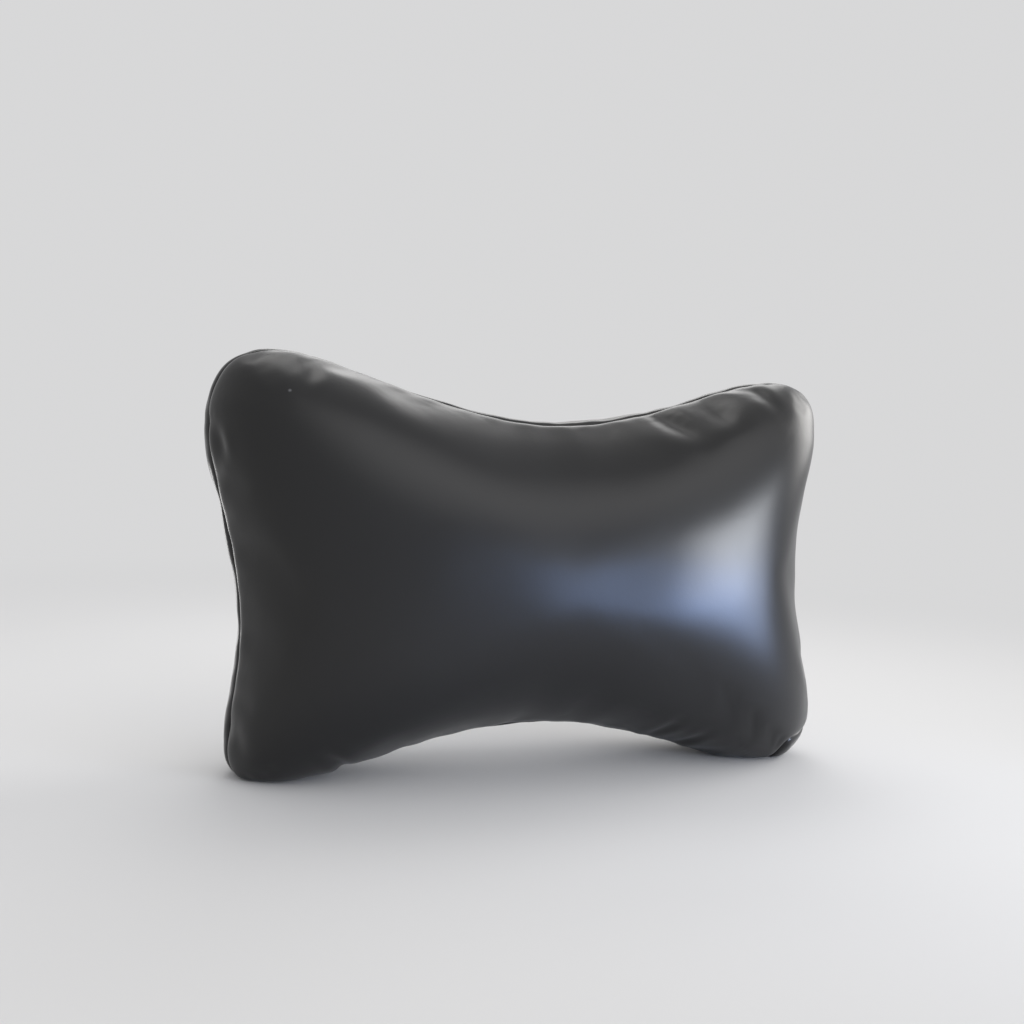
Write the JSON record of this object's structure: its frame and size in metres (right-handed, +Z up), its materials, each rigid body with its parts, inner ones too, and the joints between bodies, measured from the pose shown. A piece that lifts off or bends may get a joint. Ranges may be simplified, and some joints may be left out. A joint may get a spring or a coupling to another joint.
{
  "type": "car neck pillow",
  "caption": "Bone-shaped stuffed neck pillow in smooth black leatherette, with a turned edge seam and an elastic strap across the back for a seat's headrest.",
  "frame": {"origin": "middle of the pillow's footprint, on the surface that its two lower lobes stand on", "axes": "+X along the pillow towards the lobes on the right of the picture, +Y towards the strap at the back, +Z up"},
  "size_m": [0.2796, 0.0998, 0.1733],
  "materials": {
    "leatherette": "smooth satin",
    "fibre": "loose polyester fibre",
    "elastic": "woven elastic"
  },
  "bodies": {
    "root": {"front_panel": "leatherette", "back_panel": "leatherette", "filling": "fibre", "elastic_strap": "elastic"}
  },
  "joints": []
}
